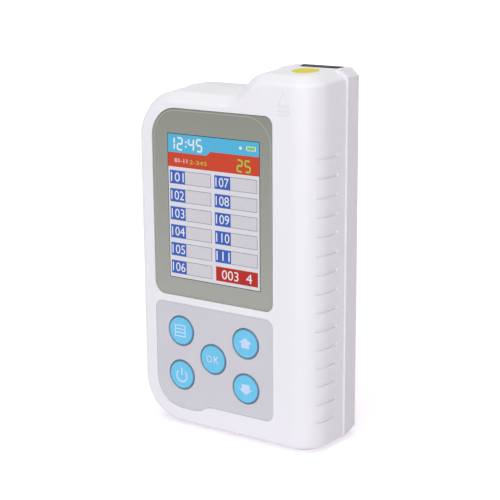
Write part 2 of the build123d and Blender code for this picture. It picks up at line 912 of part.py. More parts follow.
def make_chip(from_left, from_base, width, height, depth):
    middle_x, middle_z = board_left + from_left, board_bottom + from_base
    x, z = (middle_x - width / 2, middle_x + width / 2), (middle_z - height / 2, middle_z + height / 2)
    return slab(x, (board_back_y, board_back_y + depth), z)


def make_radio_module():
    x, z = (radio_left, radio_left + radio_width), (radio_bottom, radio_bottom + radio_length)
    body = slab(x, (board_back_y, board_back_y + radio_height), z)
    return soften(body, radio_edge, lies_at_y(board_back_y + radio_height))


def make_optical_head():
    body = slab((head_left, head_right), (head_front_y, head_back_y), (head_bottom, head_top))
    body = soften(body, head_edge, lambda e: abs(e.length - head_depth) < edge_match)
    for z in wells_z:
        body = body - rod(head_x, z, head_front_y, head_back_y, well_radius)
    return body - optics_window_box()


def optics_window_box():
    x = (head_x - window_width / 2, head_x + window_width / 2)
    z = (head_z - window_height / 2, head_z + window_height / 2)
    return slab(x, (head_back_y - window_thickness, head_back_y), z)


def make_sensor_board():
    x, z = (head_left, head_right), (sensor_board_bottom, sensor_board_top)
    body = slab(x, (sensor_board_front_y, head_front_y), z)
    for screw_z in sensor_screws_at:
        body = body - rod(head_x, screw_z, sensor_board_front_y, head_front_y, screw_radius + screw_gap)
    return body


def make_diode(z):
    body = rod(head_x, z, head_front_y, head_front_y + diode_height, diode_radius)
    return soften(body, diode_radius / 2, lies_at_y(head_front_y + diode_height))


def make_sensor_ribbon():
    """A flat ribbon from the back of the main board to the front of the sensor board."""
    far_y = sensor_board_front_y - ribbon_thickness
    line = [
        (board_right - ribbon_on_main_board, board_back_y),
        (board_right, board_back_y),
        (head_left, far_y),
        (head_left + ribbon_on_sensor_board, far_y),
    ]
    plan = line + [(x, y + ribbon_thickness) for x, y in reversed(line)]
    return column_of(plan, ribbon_bottom, ribbon_top)


def make_strip_tray():
    body = slab((tray_left, tray_right), (tray_front_y, tray_back_y), (tray_bottom, case_height))
    cap_outline = offset(polygon([(x, y, case_height - wall) for x, y in slot_outline]), -tray_gap)
    cap = extrude(cap_outline, wall + tray_cap_proud, dir=(0, 0, 1))
    cap = fillet(cap.faces().sort_by(Axis.Z)[-1].outer_wire().edges(), tray_cap_edge)
    body = body + cap
    rack_space = (tray_left, rack_back_x), (tray_front_y, gear_back_y + tray_gap)
    body = body - slab(*rack_space, (tray_bottom, pinion_z + pinion_tip + pinion_clearance))
    strip = (strip_x - strip_width / 2, strip_x + strip_width / 2), (tray_front_y, tray_front_y + strip_depth)
    return body - slab(*strip, (reference_z - reference_length / 2, strip_top))


def make_reference_block():
    x = (strip_x - strip_width / 2, strip_x + strip_width / 2)
    z = (reference_z - reference_length / 2, reference_z + reference_length / 2)
    return slab(x, (tray_front_y + strip_depth / 2, tray_front_y + strip_depth), z)


def make_tray_rack():
    """A straight rack whose tooth gap faces the pinion's axis at rest."""
    flank = tan(radians(pressure_angle))
    crest = tooth_pitch / 4 - gear_module * flank
    foot = tooth_pitch / 4 + root_depth * flank
    outline = [(rack_back_x, rack_bottom), (rack_pitch_x + root_depth, rack_bottom)]
    first = ceil((rack_bottom + foot - pinion_z) / tooth_pitch - 0.5)
    last = floor((rack_top - foot - pinion_z) / tooth_pitch - 0.5)
    for n in range(first, last + 1):
        z = pinion_z + (n + 0.5) * tooth_pitch
        outline += [
            (rack_pitch_x + root_depth, z - foot),
            (rack_tip_x, z - crest),
            (rack_tip_x, z + crest),
            (rack_pitch_x + root_depth, z + foot),
        ]
    outline += [(rack_pitch_x + root_depth, rack_top), (rack_back_x, rack_top)]
    return plate(outline, [0] * len(outline), gear_front_y, gear_back_y)


def make_drive_pinion():
    """A spur gear with involute teeth; one tooth points at the rack."""
    base = pitch_radius * cos(radians(pressure_angle))
    root, tip = pitch_radius - root_depth, pitch_radius + gear_module

    def involute(radius):
        angle = acos(min(1, base / radius))
        return tan(angle) - angle

    half = pi / (2 * pinion_teeth) - backlash / (2 * pitch_radius) + involute(pitch_radius)
    radii = [root] + [base + (tip - base) * n / flank_steps for n in range(flank_steps + 1)]
    outline = []
    for tooth in range(pinion_teeth):
        middle = 2 * pi * tooth / pinion_teeth
        flank = [(radius, half - involute(max(radius, base))) for radius in radii]
        for radius, angle in flank:
            outline.append((radius, middle - angle))
        for radius, angle in reversed(flank):
            outline.append((radius, middle + angle))
    points = [(pinion_x + r * cos(a), pinion_z + r * sin(a)) for r, a in outline]
    body = plate(points, [0] * len(points), gear_front_y, gear_back_y)
    return body - rod(pinion_x, pinion_z, gear_front_y, gear_back_y, shaft_radius)


def make_motor_body():
    body = rod(pinion_x, pinion_z, motor_front_y, bracket_front_y, motor_radius)
    body = soften(body, motor_edge, lies_at_y(motor_front_y))
    bore_y = bracket_front_y - shaft_inside - tip_gap
    body = body - rod(pinion_x, pinion_z, bore_y, bracket_front_y, shaft_radius + shaft_gap)
    for z in motor_screws_z:
        depth = bracket_front_y - motor_screw_length - tip_gap
        body = body - rod(pinion_x, z, depth, bracket_front_y, motor_screw_radius + screw_gap)
    return body


def make_motor_shaft():
    return rod(pinion_x, pinion_z, bracket_front_y - shaft_inside, gear_back_y, shaft_radius)


def countersunk(z, clearance):
    """A flat-headed screw in the bracket, flush with the bracket's back face."""
    depth = bracket_thickness * motor_screw_head_share
    y = bracket_back_y - depth / 2
    head = Pos(pinion_x, y, z) * Rot(-90, 0, 0) * Cone(motor_screw_radius, motor_screw_head, depth)
    tip = bracket_front_y - motor_screw_length
    shank = rod(pinion_x, z, tip, bracket_back_y, motor_screw_radius + clearance)
    return head + shank


def make_motor_bracket():
    x0, x1 = bracket_ear_x - bracket_ear_radius, guide_left - tray_gap
    reach = bracket_ear_offset + bracket_ear_radius
    corners = upright(x0, x1, bracket_top - 2 * reach, bracket_top)
    body = plate(corners, [bracket_ear_radius] * 4, bracket_front_y, bracket_back_y)
    body = body - rod(pinion_x, pinion_z, bracket_front_y, bracket_back_y, bracket_bore)
    for x, z in bracket_posts:
        body = body - rod(x, z, bracket_front_y, bracket_back_y, screw_radius + screw_gap)
    for z in motor_screws_z:
        body = body - countersunk(z, screw_gap)
    return body


def make_motor_lead(side):
    x = pinion_x + side * motor_lead_offset
    return rod(x, pinion_z, board_back_y, motor_front_y, motor_lead_radius)


def make_tray_guide():
    """A channel behind the tray, with side walls, front lips, a bottom stop and two ears."""
    near, far = (guide_left, guide_left + guide_wall), (guide_right - guide_wall, guide_right)
    full = (guide_left, guide_right)
    depth, height = (guide_front_y, guide_back_y), (guide_bottom, guide_top)
    lip_y = (guide_front_y - guide_wall, guide_front_y)
    lip_z = (guide_bottom, guide_bottom + guide_lip_height)
    pieces = [
        slab(full, (guide_floor_y, guide_back_y), height),
        slab(near, depth, height),
        slab(far, depth, height),
        slab(full, depth, (guide_bottom, guide_bottom + guide_wall)),
        slab((guide_left, tray_left + guide_lip), lip_y, lip_z),
        slab((tray_right - guide_lip, guide_right), lip_y, lip_z),
    ]
    for _, z in guide_posts:
        ear_z = (z - guide_ear_height / 2, z + guide_ear_height / 2)
        pieces.append(slab((guide_left - guide_ear, guide_left), (guide_floor_y, guide_back_y), ear_z))
    body = fuse(pieces)
    reach = pinion_tip + pinion_clearance
    body = body - slab(near, (guide_front_y, gear_back_y + tray_gap), (pinion_z - reach, pinion_z + reach))
    for x, z in guide_posts:
        body = body - rod(x, z, guide_floor_y, guide_back_y, screw_radius + screw_gap)
    half = home_sensor_window / 2
    middle = (guide_front_y + guide_back_y) / 2
    window_y = (middle - half, middle + half)
    window_x = (home_sensor_x - half, home_sensor_x + half)
    return body - slab(window_x, window_y, (guide_bottom, guide_bottom + guide_wall))


def make_home_sensor():
    x = (home_sensor_x - home_sensor_width / 2, home_sensor_x + home_sensor_width / 2)
    return slab(x, (guide_front_y, guide_floor_y), (guide_bottom - home_sensor_height, guide_bottom))


nodes = {
    "front_shell": make_front_shell(),
    "rear_shell": make_rear_shell(),
    "display_lens": make_display_lens(),
    "key_panel": make_key_panel(),
    "top_mark": make_top_mark(),
    "tact_switches": group(make_switch(x, z) for x, z in keys_at.values()),
    "main_board": make_main_board(),
    "screen_glass": make_screen_glass(),
    "screen_backlight": screen_box(screen_border, glass_back_y, backlight_back_y),
    "screen_foam": make_screen_foam(),
    "screen_ribbon": make_screen_ribbon(),
    "battery_cell": make_battery_cell(),
    "battery_pad": make_battery_pad(),
    "battery_leads": group(make_battery_lead(side) for side in (-1, 1)),
    "battery_socket": make_battery_socket(),
    "usb_port": make_usb_port(),
    "buzzer": make_buzzer(),
    "board_chips": group(make_chip(*chip) for chip in chips),
    "radio_module": make_radio_module(),
    "optical_head": make_optical_head(),
    "optics_window": optics_window_box(),
    "sensor_board": make_sensor_board(),
    "sensor_diodes": group(make_diode(z) for z in wells_z),
    "sensor_ribbon": make_sensor_ribbon(),
    "strip_tray": make_strip_tray(),
    "reference_block": make_reference_block(),
    "tray_rack": make_tray_rack(),
    "drive_pinion": make_drive_pinion(),
    "motor_shaft": make_motor_shaft(),
    "motor_body": make_motor_body(),
    "motor_bracket": make_motor_bracket(),
    "motor_leads": group(make_motor_lead(side) for side in (-1, 1)),
    "tray_guide": make_tray_guide(),
    "home_sensor": make_home_sensor(),
    "case_screws": group(screw(*at, case_seat_y, screw_floor + case_bite) for at in case_screws_at),
    "board_screws": group(screw(*at, board_back_y, board_screw_length) for at in board_posts),
    "sensor_screws": group(screw(head_x, z, head_front_y, board_screw_length) for z in sensor_screws_at),
    "bracket_screws": group(screw(*at, bracket_front_y, bracket_screw_length, True) for at in bracket_posts),
    "guide_screws": group(screw(*at, guide_floor_y, guide_screw_length, True) for at in guide_posts),
    "motor_screws": group(countersunk(z, 0) for z in motor_screws_z),
}
for name, (x, z) in keys_at.items():
    nodes["key_" + name] = make_key(x, z)
    nodes["plunger_" + name] = rod(x, z, key_back_y, switch_front_y + plunger_inside, plunger_radius)

for name, shape in nodes.items():
    export_step(shape, f"parts/{name}.step")
    print(name, len(shape.solids()), round(shape.volume, 1))
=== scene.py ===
import json
import math

import bpy
from mathutils import Matrix, Vector

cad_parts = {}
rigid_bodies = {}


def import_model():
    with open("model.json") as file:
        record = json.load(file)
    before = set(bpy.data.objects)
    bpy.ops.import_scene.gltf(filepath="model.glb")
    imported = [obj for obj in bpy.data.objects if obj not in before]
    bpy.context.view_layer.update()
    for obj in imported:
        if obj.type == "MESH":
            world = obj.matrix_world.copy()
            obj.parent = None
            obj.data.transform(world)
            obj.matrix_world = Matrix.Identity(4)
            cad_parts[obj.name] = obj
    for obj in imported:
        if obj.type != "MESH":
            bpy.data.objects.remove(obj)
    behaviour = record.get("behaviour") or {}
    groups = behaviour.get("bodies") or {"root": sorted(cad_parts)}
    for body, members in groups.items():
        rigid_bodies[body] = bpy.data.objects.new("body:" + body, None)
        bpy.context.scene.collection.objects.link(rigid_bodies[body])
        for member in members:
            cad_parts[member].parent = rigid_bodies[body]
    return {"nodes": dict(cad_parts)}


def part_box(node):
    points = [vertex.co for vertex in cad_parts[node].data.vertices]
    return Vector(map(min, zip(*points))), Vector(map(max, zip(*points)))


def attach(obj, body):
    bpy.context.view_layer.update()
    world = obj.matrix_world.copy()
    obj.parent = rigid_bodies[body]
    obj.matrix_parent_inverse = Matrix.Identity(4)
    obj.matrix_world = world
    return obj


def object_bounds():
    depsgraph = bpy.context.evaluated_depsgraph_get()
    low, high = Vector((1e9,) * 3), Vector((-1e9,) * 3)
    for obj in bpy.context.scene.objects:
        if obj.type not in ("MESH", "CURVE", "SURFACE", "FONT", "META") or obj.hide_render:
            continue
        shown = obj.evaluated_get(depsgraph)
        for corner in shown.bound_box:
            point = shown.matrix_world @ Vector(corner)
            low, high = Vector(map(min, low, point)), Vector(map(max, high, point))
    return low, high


bpy.ops.object.select_all(action="SELECT")
bpy.ops.object.delete()

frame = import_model()
nodes = frame["nodes"]
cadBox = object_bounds()
mm = 0.001
print("frame loaded:", len(nodes), "nodes")


# camera at the photograph's view

cameraView = {
    "place": (247.05, -364.18, 173.85),  # mm
    "azimuth": 34.052,  # degrees round to the right of the front
    "elevation": 14.143,
    "roll": -0.428,
    "lens": 95.87,
    "sensor": 36.0,
}


def addCamera(view):
    data = bpy.data.cameras.new("camera")
    data.lens = view["lens"]
    data.sensor_width = view["sensor"]
    camera = bpy.data.objects.new("camera", data)
    bpy.context.scene.collection.objects.link(camera)
    turn = Matrix.Rotation(math.radians(view["azimuth"]), 4, "Z")
    tilt = Matrix.Rotation(math.radians(90 - view["elevation"]), 4, "X")
    roll = Matrix.Rotation(math.radians(view["roll"]), 4, "Z")
    camera.matrix_world = Matrix.Translation(Vector(view["place"]) * mm) @ turn @ tilt @ roll
    bpy.context.scene.camera = camera


addCamera(cameraView)
bpy.context.scene.view_settings.view_transform = "Standard"


# shader maths: an expression on Wires adds its Math nodes

def tone(red, green, blue):  # a screen colour, 0 to 255, through the sRGB curve
    linear = []
    for share in (red / 255, green / 255, blue / 255):
        linear.append(share / 12.92 if share < 0.04045 else ((share + 0.055) / 1.055) ** 2.4)
    return (*linear, 1.0)


class Wire:
    def __init__(self, look, socket):
        self.look = look
        self.socket = socket

    def sum(self, operation, first, second):
        return self.look.node("ShaderNodeMath", {"operation": operation}, {0: first, 1: second})

    def __add__(self, other):
        return self.sum("ADD", self, other)

    def __radd__(self, other):
        return self.sum("ADD", other, self)

    def __sub__(self, other):
        return self.sum("SUBTRACT", self, other)

    def __rsub__(self, other):
        return self.sum("SUBTRACT", other, self)

    def __mul__(self, other):
        return self.sum("MULTIPLY", self, other)

    def __rmul__(self, other):
        return self.sum("MULTIPLY", other, self)

    def __gt__(self, other):
        return self.sum("GREATER_THAN", self, other)


class Graph:
    def __init__(self, tree):
        self.tree = tree

    def feed(self, socket, value):
        if isinstance(value, Wire):
            self.tree.links.new(value.socket, socket)
        else:
            socket.default_value = value

    def node(self, kind, settings, values, out=0):
        made = self.tree.nodes.new(kind)
        for key, value in settings.items():
            setattr(made, key, value)
        for key, value in values.items():
            self.feed(made.inputs[key], value)
        return Wire(self, made.outputs[out])

    def point(self):
        return self.node("ShaderNodeTexCoord", {}, {}, "Object")

    def axis(self, letter):  # one coordinate, in metres
        return self.node("ShaderNodeSeparateXYZ", {}, {0: self.point()}, letter)

    def noise(self, size, detail=2.0, vector=None):  # patches of about this size, in metres
        values = {"Vector": vector or self.point(), "Scale": 1 / size, "Detail": detail}
        return self.node("ShaderNodeTexNoise", {}, values)

    def stretched(self, scale):
        return self.node("ShaderNodeVectorMath", {"operation": "MULTIPLY"}, {0: self.point(), 1: scale})

    def spread(self, value, low, high, start=0.0, end=1.0):  # takes start..end into low..high
        values = {"Value": value, "From Min": start, "From Max": end, "To Min": low, "To Max": high}
        return self.node("ShaderNodeMapRange", {}, values)

    def blend(self, share, first, second):
        return self.node("ShaderNodeMix", {"data_type": "RGBA"}, {0: share, 6: first, 7: second}, 2)

    def seen(self):  # 1 for rays from the camera, a mirror or through glass
        rays = [self.node("ShaderNodeLightPath", {}, {}, ray) for ray in
                ("Is Camera Ray", "Is Glossy Ray", "Is Transmission Ray")]
        pair = self.node("ShaderNodeMath", {"operation": "MAXIMUM"}, {0: rays[1], 1: rays[2]})
        return self.node("ShaderNodeMath", {"operation": "MAXIMUM"}, {0: rays[0], 1: pair})


class Look(Graph):
    def __init__(self, name, color, roughness, **fixed):
        self.material = bpy.data.materials.new(name)
        self.material.use_nodes = True
        super().__init__(self.material.node_tree)
        self.shader = self.tree.nodes["Principled BSDF"]
        self.give("Base Color", tone(*color))
        self.give("Roughness", roughness)
        for socket, value in fixed.items():
            self.give(socket, value)

    def give(self, socket, value):
        self.feed(self.shader.inputs[socket], value)

    def tint(self, share, first, second):  # colour between two
        self.give("Base Color", self.blend(share, tone(*first), tone(*second)))

    def sheen(self, share, low, high):  # roughness between two values
        self.give("Roughness", self.spread(share, low, high))

    def relief(self, height, depth):  # depth in metres
        self.give("Normal", self.node("ShaderNodeBump", {}, {"Height": height, "Distance": depth}))


# finishes

def shifted(color, change):
    return [min(255, max(0, value + change)) for value in color]


def scaled(color, share):
    return [value * share for value in color]


plastic = {"patches": 14 * mm, "sheenPatches": 5 * mm, "sheen": 0.05, "detail": 3.0}


def moulded(name, color, roughness, grain, depth, shade=6, **fixed):  # plastic from a textured mould
    look = Look(name, color, roughness, **fixed)
    look.tint(look.noise(plastic["patches"]), shifted(color, -shade), color)
    change = plastic["sheen"]
    look.sheen(look.noise(plastic["sheenPatches"]), roughness - change, roughness + change)
    look.relief(look.noise(grain * mm, plastic["detail"]), depth * mm)
    return look


brushed = {
    "width": 0.12 * mm,
    "detail": 3.0,
    "dark": 0.8,
    "smoother": 0.08,
    "rougher": 0.12,
    "depth": 0.004 * mm,
}


def metal(name, color, roughness, lay):  # lay stretches the brushing along one axis
    look = Look(name, color, roughness, Metallic=1.0)
    brushing = look.noise(brushed["width"], brushed["detail"], look.stretched(lay))
    look.tint(brushing, scaled(color, brushed["dark"]), color)
    look.sheen(brushing, roughness - brushed["smoother"], roughness + brushed["rougher"])
    look.relief(brushing, brushed["depth"])
    return look


lacquer = {
    "pitch": 3.2 * mm,
    "trackWidth": 0.08,  # as a share of the pitch
    "roughness": 0.38,
    "coat": {"Coat Weight": 0.4, "Coat Roughness": 0.2},
    "sheen": (0.42, 0.3),
    "depth": 0.03 * mm,
}


def circuitBoard(name, color, trackColor):
    look = Look(name, color, lacquer["roughness"], **lacquer["coat"])
    settings = {"distance": "MANHATTAN", "feature": "DISTANCE_TO_EDGE"}
    values = {"Vector": look.point(), "Scale": 1 / lacquer["pitch"]}
    cells = look.node("ShaderNodeTexVoronoi", settings, values)
    track = 1 - (cells > lacquer["trackWidth"])
    look.tint(track, color, trackColor)
    look.sheen(track, *lacquer["sheen"])
    look.relief(track, lacquer["depth"])
    return look


sponge = {"cell": 0.5 * mm, "roughness": 0.95, "lighter": 18, "depth": 0.1 * mm}


def foam(name, color):
    look = Look(name, color, sponge["roughness"])
    cells = look.node("ShaderNodeTexVoronoi", {}, {"Vector": look.point(), "Scale": 1 / sponge["cell"]})
    look.tint(cells, color, shifted(color, sponge["lighter"]))
    look.relief(cells, sponge["depth"])
    return look


pouch = {
    "crinkle": 4 * mm,
    "detail": 6.0,
    "roughness": 0.35,
    "metallic": 0.9,
    "darker": 30,
    "sheen": (0.25, 0.5),
    "depth": 0.5 * mm,
}


def foil(name, color):  # the battery's crinkled pouch
    look = Look(name, color, pouch["roughness"], Metallic=pouch["metallic"])
    crinkle = look.noise(pouch["crinkle"], pouch["detail"])
    look.tint(crinkle, shifted(color, -pouch["darker"]), color)
    look.sheen(crinkle, *pouch["sheen"])
    look.relief(crinkle, pouch["depth"])
    return look


film = {
    "pitch": 2 * mm,
    "stripe": 0.5,  # where the wave turns to copper
    "roughness": 0.3,
    "coat": {"Coat Weight": 0.5},
    "sheen": (0.25, 0.4),
    "depth": 0.02 * mm,
}


def ribbon(name, color, stripe):  # copper lines under amber film
    look = Look(name, color, film["roughness"], **film["coat"])
    values = {"Vector": look.point(), "Scale": 1 / film["pitch"]}
    line = look.node("ShaderNodeTexWave", {"bands_direction": "X"}, values)
    look.tint(line > film["stripe"], color, stripe)
    look.sheen(line, *film["sheen"])
    look.relief(line, film["depth"])
    return look


acrylic = {
    "patches": 2 * mm,
    "fixed": {"Transmission Weight": 0.9, "IOR": 1.49},
    "rougher": 0.06,
    "lighter": 8,
}


def clear(name, color, roughness):
    look = Look(name, color, roughness, **acrylic["fixed"])
    haze = look.noise(acrylic["patches"])
    look.sheen(haze, roughness, roughness + acrylic["rougher"])
    look.tint(haze, color, shifted(color, acrylic["lighter"]))
    return look


bezel = {
    "top": (121, 127, 113),
    "bottom": (159, 162, 153),
    "rise": (45 * mm, 114 * mm),  # heights between which the colour goes from one to the other: painted shading, darker towards the top and lighter towards the bottom
    "speck": (0.3 * mm, 0.05),  # its size and how far it shifts the colour
    "roughness": 0.12,
    "sheen": (9 * mm, 0.03, 0.05),  # size of the patches, smoother and rougher by
    "ripple": (6 * mm, 0.002 * mm),
    "coat": {"Coat Weight": 0.5, "Coat Roughness": 0.04},
}


def bezelFinish(sizes):
    look = Look("bezelPrint", sizes["top"], sizes["roughness"], **sizes["coat"])
    low, high = sizes["rise"]
    # painted shading: the print is darker towards the top and lighter towards the bottom
    share = look.spread(look.axis("Z"), 0.0, 1.0, low, high)
    speck, strength = sizes["speck"]
    look.tint(share + look.noise(speck, 2.0) * strength, sizes["bottom"], sizes["top"])
    patches, smoother, rougher = sizes["sheen"]
    look.sheen(look.noise(patches), sizes["roughness"] - smoother, sizes["roughness"] + rougher)
    ripple, depth = sizes["ripple"]
    look.relief(look.noise(ripple, 1.0), depth)
    return look


keys = {
    "blue": (84, 190, 232),
    "glow": (108, 204, 238),
    # painted shade: the darker ring at the edge of each key
    "rim": (72, 122, 152),
    "gelPatches": 2.2 * mm,
    "roughness": 0.36,
    "sheen": (0.8 * mm, 0.06),  # size of the patches, smoother and rougher by
    "grain": (0.25 * mm, 0.006 * mm),
    "coat": {"Coat Weight": 0.35, "Coat Roughness": 0.2},
    "faceRadius": 5.27 * mm,
    "rimWidth": 0.6 * mm,
    "rimBlur": 0.12 * mm,
}


def keyFinish(name, sizes):  # blue gel over a darker ring at its edge, painted shade of the gap round the key
    low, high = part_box(name)
    look = Look(name + "Gel", sizes["blue"], sizes["roughness"], **sizes["coat"])
    centre = tuple((low + high) / 2)
    away = look.node("ShaderNodeVectorMath", {"operation": "SUBTRACT"}, {0: look.point(), 1: centre})
    flat = look.node("ShaderNodeVectorMath", {"operation": "MULTIPLY"}, {0: away, 1: (1, 0, 1)})
    distance = look.node("ShaderNodeVectorMath", {"operation": "LENGTH"}, {0: flat}, "Value")
    rimStart = sizes["faceRadius"] - sizes["rimWidth"]
    gel = look.blend(look.noise(sizes["gelPatches"]), tone(*sizes["blue"]), tone(*sizes["glow"]))
    # painted shade: the cap darkens in a ring at its edge, where the gap round the key shades it
    edge = look.spread(distance, 0.0, 1.0, rimStart, rimStart + sizes["rimBlur"])
    look.give("Base Color", look.blend(edge, gel, tone(*sizes["rim"])))
    patches, change = sizes["sheen"]
    look.sheen(look.noise(patches), sizes["roughness"] - change, sizes["roughness"] + change)
    grain, depth = sizes["grain"]
    look.relief(look.noise(grain), depth)
    return look


dull = {"Specular IOR Level": 0.12}
finishes = {
    "case_white": moulded("caseWhite", (238, 238, 242), 0.40, 0.22, 0.006, shade=3),
    "lens_grey": bezelFinish(bezel),
    "panel_grey": moulded("panelGrey", (207, 207, 213), 0.38, 0.18, 0.008, shade=5),
    "sticker_yellow": moulded("stickerYellow", (230, 218, 52), 0.5, 0.5, 0.004, shade=14, **dull),
    "switch_black": moulded("switchBlack", (34, 34, 36), 0.5, 0.3, 0.01),
    "board_green": circuitBoard("boardGreen", (18, 84, 52), (40, 122, 74)),
    "screen_glass": Look("screenGlass", (40, 44, 50), 0.08, **{"Coat Weight": 0.5}),
    "backlight_white": moulded("backlightWhite", (236, 238, 240), 0.5, 1.0, 0.02),
    "foam_black": foam("foamBlack", (28, 28, 30)),
    "ribbon_amber": ribbon("ribbonAmber", (196, 122, 40), (214, 150, 70)),
    "cell_foil": foil("cellFoil", (190, 192, 196)),
    "lead_red": moulded("leadRed", (190, 30, 26), 0.42, 0.4, 0.01),
    "socket_cream": moulded("socketCream", (226, 218, 196), 0.45, 0.4, 0.01),
    "steel": metal("pressedSteel", (198, 200, 204), 0.3, (1, 1, 0.05)),
    "shield_steel": metal("shieldSteel", (210, 208, 200), 0.28, (0.05, 1, 1)),
    "chip_black": moulded("chipBlack", (26, 27, 30), 0.55, 0.2, 0.012),
    "optics_black": moulded("opticsBlack", (20, 20, 22), 0.7, 0.3, 0.02),
    "clear_window": clear("clearWindow", (235, 240, 240), 0.05),
    "diode_clear": clear("diodeClear", (236, 240, 236), 0.08),
    "tray_black": moulded("trayBlack", (14, 12, 20), 0.5, 0.25, 0.008, shade=3, **dull),
    "reference_white": moulded("referenceWhite", (246, 246, 242), 0.85, 0.15, 0.01),
    "gear_white": moulded("gearWhite", (232, 230, 220), 0.42, 0.3, 0.01),
    "motor_steel": metal("motorCan", (186, 188, 192), 0.34, (1, 0.05, 1)),
    "guide_grey": moulded("guideGrey", (120, 122, 126), 0.5, 0.25, 0.015),
    "screw_steel": metal("zincScrew", (176, 178, 178), 0.3, (1, 1, 1)),
}
rearWhite = moulded("rearWhite", (234, 230, 236), 0.42, 0.22, 0.006, shade=3)
for name, node in nodes.items():
    slot = node.data.materials[0].name.split(".")[0]
    look = keyFinish(name, keys) if slot == "key_blue" else finishes[slot]
    node.material_slots[0].material = look.material
nodes["rear_shell"].material_slots[0].material = rearWhite.material
print("finishes:", len(finishes), "slots")


# modelling helpers: everything is deselected first, and a finished piece's place is in its mesh

facingUser = (math.pi / 2, 0, 0)
near = 0.001 * mm  # points closer than this are one


def startPiece():
    bpy.ops.object.select_all(action="DESELECT")


def finishPiece(name, look, body="case"):
    piece = bpy.context.object
    bpy.ops.object.transform_apply(location=True, rotation=True, scale=True)
    piece.name = name
    piece.data.name = name
    piece.data.materials.clear()
    piece.data.materials.append(look.material)
    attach(piece, body)
    return piece


def thicken(thickness):  # a flat face becomes a closed sheet whose front stays put
    bpy.ops.object.modifier_add(type="SOLIDIFY")
    solid = bpy.context.object.modifiers[-1]
    solid.thickness = thickness
    solid.offset = -1.0
    bpy.ops.object.modifier_apply(modifier=solid.name)


def pickPoints(choose):  # selects the points of the piece in edit mode that choose picks
    mesh = bpy.context.object.data
    bpy.ops.mesh.select_all(action="DESELECT")
    bpy.ops.object.mode_set(mode="OBJECT")
    for vertex in mesh.vertices:
        vertex.select = choose(vertex.co)
    bpy.ops.object.mode_set(mode="EDIT")


def addSheet(left, top, width, height, front):  # a flat oblong that faces the user
    startPiece()
    middle = (left + width / 2, front, top - height / 2)
    bpy.ops.mesh.primitive_plane_add(size=1, location=middle, rotation=facingUser)
    bpy.context.object.scale = (width, height, 1)
    bpy.ops.object.transform_apply(location=True, rotation=True, scale=True)


def addDisc(place, radius, points):  # a flat disc that faces the user
    startPiece()
    bpy.ops.mesh.primitive_circle_add(
        vertices=points, radius=radius, fill_type="NGON", location=place, rotation=facingUser
    )


def weldPoints(distance):
    bpy.ops.object.mode_set(mode="EDIT")
    bpy.ops.mesh.select_all(action="SELECT")
    bpy.ops.mesh.remove_doubles(threshold=distance)
    bpy.ops.object.mode_set(mode="OBJECT")


def leaveRim(width):  # cuts the middle out of a flat piece
    bpy.ops.object.mode_set(mode="EDIT")
    bpy.ops.mesh.select_mode(type="FACE")
    bpy.ops.mesh.select_all(action="SELECT")
    bpy.ops.mesh.inset(thickness=width)
    bpy.ops.mesh.delete(type="FACE")
    bpy.ops.mesh.select_mode(type="VERT")
    bpy.ops.object.mode_set(mode="OBJECT")


def roundCorners(radii, segments=8):  # one radius for each corner, from the top left clockwise
    mesh = bpy.context.object.data
    middle = sum((vertex.co for vertex in mesh.vertices), Vector()) / len(mesh.vertices)
    for radius, (across, up) in zip(radii, ((-1, 1), (1, 1), (1, -1), (-1, -1))):
        bpy.ops.object.mode_set(mode="EDIT")
        bpy.ops.mesh.select_mode(type="VERT")
        pickPoints(lambda at: (at.x - middle.x) * across + (at.z - middle.z) * up > 0 and isCorner(mesh, at))
        bpy.ops.mesh.bevel(offset=radius, offset_pct=0, segments=segments, affect="VERTICES")
        bpy.ops.object.mode_set(mode="OBJECT")


def isCorner(mesh, at):  # at the end of both the width and the height
    xs = [vertex.co.x for vertex in mesh.vertices]
    zs = [vertex.co.z for vertex in mesh.vertices]
    return min(at.x - min(xs), max(xs) - at.x) < near and min(at.z - min(zs), max(zs) - at.z) < near


def joinPieces(pieces):
    startPiece()
    for piece in pieces:
        piece.select_set(True)
    bpy.context.view_layer.objects.active = pieces[0]
    if len(pieces) > 1:
        bpy.ops.object.join()


# the lit picture, laid out in mm from its top left corner

picture = {
    "fromLeft": 6.52,  # from the lens's edges to the picture's
    "fromRight": 5.09,
    "fromTop": 8.64,
    "fromBottom": 6.54,
    "step": 0.02,  # each layer of the picture stands this far in front of the one under it
    "layers": {"border": 0.5, "ground": 1.5, "field": 2.5, "cell": 3.5, "print": 4.5},  # in steps
    "border": 0.22,
    "glass": (12, 12, 14),
    "roughness": 0.2,
    "washPatches": 3 * mm,
    "washed": 0.96,
    "glow": 0.92,
    "colors": {
        "black": (44, 48, 50),
        "ground": (228, 226, 234),
        "header": (84, 186, 228),
        "band": (211, 68, 36),
        "cell": (62, 98, 190),
        "value": (216, 213, 220),
        "edge": (132, 132, 142),
        "count": (190, 42, 32),
        "white": (240, 242, 248),
        "lime": (164, 206, 66),
        "green": (120, 200, 60),
    },
}
lensLow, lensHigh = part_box("display_lens")
pictureLeft = lensLow.x + picture["fromLeft"] * mm
pictureTop = lensHigh.z - picture["fromTop"] * mm
pictureWide = (lensHigh.x - lensLow.x) / mm - picture["fromLeft"] - picture["fromRight"]
pictureTall = (lensHigh.z - lensLow.z) / mm - picture["fromTop"] - picture["fromBottom"]
screenLook = {}
for name, color in picture["colors"].items():
    look = Look("screen" + name.capitalize(), picture["glass"], picture["roughness"], **dull)
    wash = look.noise(picture["washPatches"])
    deeper = scaled(color, picture["washed"])
    look.give("Emission Color", look.blend(wash, tone(*deeper), tone(*color)))
    look.give("Emission Strength", 0.0 if name == "black" else picture["glow"])
    screenLook[name] = look


def layerFront(layer):
    return lensLow.y - picture["layers"][layer] * picture["step"] * mm


